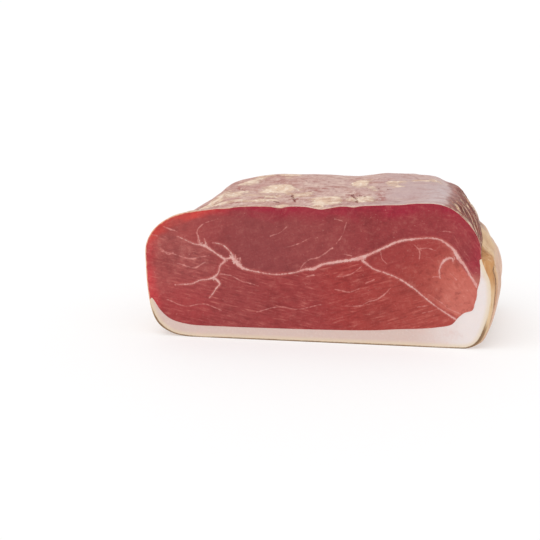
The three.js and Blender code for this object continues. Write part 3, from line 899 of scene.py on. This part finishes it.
# The fat: white on the cut, cream to ochre towards its rind, and the tan rind itself with its creases outside
fatLook = {
    "creaseBehind": (2.4, 12.0),  # how far behind the cut the main crease is, and how much more at its top
    "creaseClimb": (54, 66),  # the heights between which it runs back
    "creaseWidth": 1.3,
    "creaseDepth": 1.1,
    "pressed": [(47, 12, -1.5), (70, 7, -1.3)],  # on the flank: height, reach, depth
    # weaker folds: behind the cut, half width, depth
    "folds": [(21.0, 3.0, 0.4), (37.0, 3.0, 0.5), (61.0, 3.5, 0.7), (88.0, 3.0, 0.5)],
    "undulation": 0.7,
    "cutUnevenness": 0.2,
    "calmEnds": 0.012,
    "crowding": 1.6,  # how much closer its rows on the cut lie towards the rind
}


# The rind's marks: how far behind the cut it is, the distance to the main crease, the bevel in front of that
# and the folds; and how far all of it raises the surface
def rindFields(p, y, arc):
    x, height, level = p[..., 0], p[..., 2], p * [0, 0, 1]
    onFlank = smooth(60, 90, x)
    behind = y - block["cutY"] + np.zeros_like(arc)
    start, climb = fatLook["creaseBehind"]
    at = start + climb * smooth(*fatLook["creaseClimb"], height) + 0.5 * layeredNoise(level, 12.0, 400)
    creased = smooth(9, 16, height) * onFlank
    crease = np.abs(behind - at) + nowhere * (1 - creased)
    bevel = smooth(0.3, -0.5, behind - mixed(1.4, at, creased))
    lift = fatLook["undulation"] * mixed(0.25, 1, smooth(-10, 50, y))
    lift = lift * layeredNoise(p * [1, 1, 0.6], 17.0, 410)
    deep = fatLook["creaseDepth"] * mixed(0.45, 1, smooth(16, 34, height))
    lift = lift - deep * bell(crease / fatLook["creaseWidth"])
    fold = 0
    for start, width, depth in fatLook["folds"]:
        bend = start + 7 * layeredNoise(level + [0, start, 0], 34.0, 420)
        strength = depth * smooth(-0.3, 0.3, layeredNoise(level + [0, 2 * start, 0], 26.0, 430))
        fold = np.maximum(fold, strength * bell((behind - bend) / width) * smooth(4, 14, height))
    lift = lift - fold
    for z, reach, depth in fatLook["pressed"]:
        lift = lift + depth * bell((height - z) / reach) * smooth(8, 20, behind) * onFlank
    return {"behind": behind, "crease": crease, "bevel": bevel, "fold": fold}, lift


# The fat on the cut: white, pinker beside the lean, ochre towards the rind and brown right under it
def fatCutMaterial():
    material, shader = newMaterial("cutFat", {
        "Subsurface Weight": 0.15, "Subsurface Radius": (0.003, 0.0024, 0.002), "Subsurface Scale": 0.5,
        "Specular IOR Level": 0.25})
    spot = place("TexCoord").outputs["Object"]
    across, _, height = parts(spot)
    broad = grain(spot, 16.0, detail=4.0, roughness=0.6)
    fine = grain(spot, 1.5, detail=4.0, roughness=0.6)
    toRind, toLean = stored("toRind"), stored("toLean")
    under = edged(maths("SUBTRACT", toRind, 0.8), fine, 0.8, 0.45)
    color = painted(
        # darker and pinker towards the left: partly the fat's own tone, partly painted shadow
        between(across, 0.06, 0.105, (215, 190, 181), (233, 222, 219)),
        ((222, 192, 184), ramped(broad, 0.5, 0.66), 0.5),
        ((240, 232, 228), ramped(fine, 0.5, 0.72), 0.2),
        ((222, 168, 158), edged(toLean, fine, 2.5, 0.9), 0.6),
        ((228, 208, 176), ramped(toRind, 4.6, 0.8), 0.7),
        ((212, 174, 124), edged(toRind, broad, 4.0, 0.9), ramped(height, 0.044, 0.058, 1.0, 0.25), 0.75),
        ((116, 82, 48), under, ramped(height, 0.024, 0.012), 0.9))
    rough = ramped(fine, 0.3, 0.7, 0.36, 0.48)
    finishMaterial(shader, color, rough, summed((fine, 0.4), (broad, 0.8)), 0.22)
    return material


# The rind: tan with pores and upright lines, a pale bevel, painted shade in the folds and the crease, a
# reddish edge and painted shade low down near the floor
def rindMaterial():
    material, shader = newMaterial("rind", {
        "Specular IOR Level": 0.35, "Coat Weight": 0.05, "Coat Roughness": 0.35})
    spot = place("TexCoord").outputs["Object"]
    height = parts(spot)[2]
    broad = grain(spot, 26.0, stretch=(1.0, 1.0, 0.6), detail=5.0, roughness=0.6)
    middle = grain(spot, 6.0, stretch=(1.0, 1.0, 0.4), detail=5.0, roughness=0.64, bend=0.5)
    fine = grain(spot, 1.0, roughness=0.6)
    lines = grain(spot, 2.2, stretch=(1.0, 1.0, 0.12), detail=4.0, roughness=0.6, bend=0.4)
    pore = ramped(place("TexVoronoi", {"Vector": spot, "Scale": 420.0}).outputs["Distance"], 0.24, 0.1)
    below, behind, bevel = stored("below"), stored("behind"), stored("bevel")
    upper = times(ramped(below, 30.0, 5.0), ramped(behind, 26.0, 60.0, 1.0, 0.3))
    front = ramped(behind, 10.0, 32.0, 1.0, 0.25)
    # masks for the painted shade beside and in the main crease; the crease mask also lowers the bump
    crease = maths("ADD", stored("crease"), ramped(height, 0.012, 0.034, 0.5, 0.0))
    beside = edged(crease, middle, 3.0, 2.4)
    crease = edged(maths("SUBTRACT", crease, 0.45), fine, 1.0, 0.6)
    crease = times(crease, ramped(height, 0.056, 0.066, 1.0, 0.3), ramped(height, 0.004, 0.02, 0.3))
    leanward = times(ramped(below, 6.0, 1.0, 0.0, 0.7), ramped(behind, 24.0, 50.0))
    leanward = times(leanward, ramped(middle, 0.62, 0.4, 0.5, 1.0))
    # painted shade: the rind darkens low down, near the floor
    nearFloorShade = times(ramped(height, 0.02, 0.004), ramped(middle, 0.6, 0.4, 0.5, 1.0))
    under = times(ramped(behind, 1.0, 0.2), ramped(height, 0.02, 0.012))
    color = painted(
        between(broad, 0.36, 0.64, (232, 190, 164), (214, 166, 132)),
        ((186, 130, 92), ramped(middle, 0.5, 0.3), 0.6),
        ((228, 198, 176), ramped(middle, 0.52, 0.7), 0.5),
        ((156, 108, 76), ramped(fine, 0.5, 0.3), 0.3),
        ((146, 100, 70), pore, 0.3),
        ((224, 192, 146), upper, 0.75),
        (between(height, 0.034, 0.054, (226, 194, 152), (197, 139, 82)), bevel, 0.9),
        ((172, 116, 70), ramped(lines, 0.5, 0.34), front, 0.5),
        ((234, 206, 168), ramped(lines, 0.54, 0.7), front, 0.4),
        ((158, 104, 48), bevel, ramped(height, 0.058, 0.066), ramped(middle, 0.5, 0.4), 0.7),
        # painted shade: darker in the folds, in a soft band beside the main crease and in the crease itself
        ((176, 124, 88), stored("fold"), 0.9),
        ((186, 126, 76), beside, 0.4),
        ((112, 70, 38), crease, 0.95),
        (between(middle, 0.35, 0.6, (104, 54, 48), (160, 106, 84)), leanward),
        ((156, 120, 92), nearFloorShade, 0.5),
        ((120, 84, 50), under, 0.8))
    bumps = summed((middle, 1.0), (fine, 0.3), (pore, -0.25), (crease, -0.5))
    finishMaterial(shader, color, ramped(middle, 0.3, 0.7, 0.38, 0.52), bumps, 0.5)
    return material


# The fat: a grid over its part of the cut, then rings of rind and hidden boundary, closed at the end
def buildFat():
    u, share = evenly(mesh["cutColumns"]), evenly(mesh["hiddenColumns"])
    w = 1 - (1 - evenly(mesh["fatRows"])[:, None, None]) ** fatLook["crowding"]
    inner = onLine(leanLine, u * leanLine["total"])
    outer = onLine(outline, block["otherBorder"] * u)
    outer[:, 1] = np.maximum(0, outer[:, 1])
    flat = mixed(inner[None], outer[None], w)
    spots = flat.reshape(-1, 2)
    step = mesh["pathStep"]
    toRind = nearest(spots, onLine(outline, np.arange(0, block["otherBorder"], step)))[1]
    toLean = nearest(spots, onLine(leanLine, np.arange(0, leanLine["total"], step)))[1]
    relief = fatLook["cutUnevenness"] * smooth(0, 0.2, np.minimum(w, 1 - w))[..., 0]
    relief = relief * layeredNoise(flat, 9.0, 41)
    cut = np.stack([flat[..., 0], block["cutY"] + relief, flat[..., 1]], -1)

    y, scale, far = depthRows(block["fatStopAngle"] - block["fatStopGap"][0])
    arc = fatArc(u[None], y)
    rind, normal, low = skin(arc, y, scale, far)
    out = scale * lipHeight(arc, y) * mixed(0.1, 1, smooth(far[-1, 0], 0.8 * far[-1, 0], far))
    rind[..., 0] += normal[..., 0] * out
    rind[..., 2] = np.maximum(0, rind[..., 2] + normal[..., 1] * out * np.where(normal[..., 1] < 0, low, 1))
    marks, height = rindFields(rind, y, arc)
    marks["below"] = arc - flankBorder(y)
    height = height * low * smooth(0, 2.5, marks["behind"])
    rind = raised(rind, height * betweenEnds(u, fatLook["calmEnds"]))
    under = underFat(share[None], y, scale, far)[:, ::-1]
    rings = np.concatenate([rind, under], axis=1)

    face, around, ringAt = stitched(cut, rings, u, share)
    points = np.vstack([cut.reshape(-1, 3), rings.reshape(-1, 3)])
    end = zipped(ringAt[-1, :len(u)], u, ringAt[-1, len(u):-1][::-1], share)
    triangles = np.vstack([face, around, end])
    faceMaterial = np.arange(len(triangles)) >= len(face)

    def everywhere(onCut, onRind):  # one value a point: the cut, then the rings with their hidden side
        ringValues = np.hstack([onRind + np.zeros_like(arc), np.full(under.shape[:2], nowhere)])
        return np.concatenate([onCut + np.zeros(len(spots)), ringValues.ravel()])

    values = {"toRind": everywhere(toRind, 0.0), "toLean": everywhere(toLean, nowhere)}
    for key, mark in marks.items():
        values[key] = everywhere({"crease": nowhere, "bevel": 1.0}.get(key, 0.0), mark)
    return points, triangles, faceMaterial, values


print("building the lean and the fat")
leanPoints, leanTriangles, leanFaces, leanValues = buildLean()
fatPoints, fatTriangles, fatFaces, fatValues = buildFat()
leanMaterials = [leanCutMaterial(), crustMaterial()]
fatMaterials = [fatCutMaterial(), rindMaterial()]
lean = makePiece("leanMeat", leanPoints, leanTriangles, leanMaterials, leanFaces, leanValues)
fat = makePiece("fatLayer", fatPoints, fatTriangles, fatMaterials, fatFaces, fatValues)
for piece, node in ((lean, "lean_meat"), (fat, "fat_layer")):
    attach(piece, "root")
    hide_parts(node)

# Studio: a pale floor, an even white surround and one broad soft light from the upper left, in front
studio = {
    "floorSize": 30.0,
    "floorColor": (196, 195, 195),
    "floorGlow": 0.43,
    "surround": 0.80,
    "lightPower": 0.95,
    "lightSpread": 60.0,
    "lightFrom": (-0.35, -0.5, 1.0),
    "aim": (-0.04752, 0.00155, 0.0338),
    "azimuth": 10.0,
    "elevation": 12.0,
    "distance": 1.1,
    "lens": 98.72,
}


def aimed(thing, target):
    direction = Vector(target) - thing.location
    thing.rotation_euler = direction.to_track_quat("-Z", "Y").to_euler()


def buildFloor():
    half = studio["floorSize"] / 2
    made = bpy.data.meshes.new("floor")
    corners = [(-half, -half, 0), (half, -half, 0), (half, half, 0), (-half, half, 0)]
    made.from_pydata(corners, [], [(0, 1, 2, 3)])
    material, _ = newMaterial("paleFloor", {
        "Base Color": linear(*studio["floorColor"]), "Roughness": 0.7, "Specular IOR Level": 0.2,
        "Emission Color": (1.0, 1.0, 1.0, 1.0), "Emission Strength": studio["floorGlow"]})
    made.materials.append(material)
    added("floor", made)


def buildLight():
    world = bpy.data.worlds.new("surround")
    bpy.context.scene.world = world
    world.use_nodes = True
    world.node_tree.nodes["Background"].inputs["Color"].default_value = (1.0, 1.0, 1.0, 1.0)
    world.node_tree.nodes["Background"].inputs["Strength"].default_value = studio["surround"]
    data = bpy.data.lights.new("softLight", "SUN")
    data.energy, data.angle = studio["lightPower"], math.radians(studio["lightSpread"])
    light = added("softLight", data)
    light.location = studio["lightFrom"]
    aimed(light, (0, 0, 0))


def buildCamera():  # set back from its aim by the distance, at the azimuth and elevation
    turn, lift = math.radians(studio["azimuth"]), math.radians(studio["elevation"])
    back = Vector((math.sin(turn) * math.cos(lift), -math.cos(turn) * math.cos(lift), math.sin(lift)))
    data = bpy.data.cameras.new("camera")
    data.lens, data.sensor_width, data.clip_end = studio["lens"], 36.0, 100.0
    camera = added("camera", data)
    camera.location = Vector(studio["aim"]) + back * studio["distance"]
    aimed(camera, studio["aim"])
    bpy.context.scene.camera = camera
    bpy.context.scene.view_settings.view_transform = "Standard"


buildFloor()
buildLight()
buildCamera()
print("studio made")
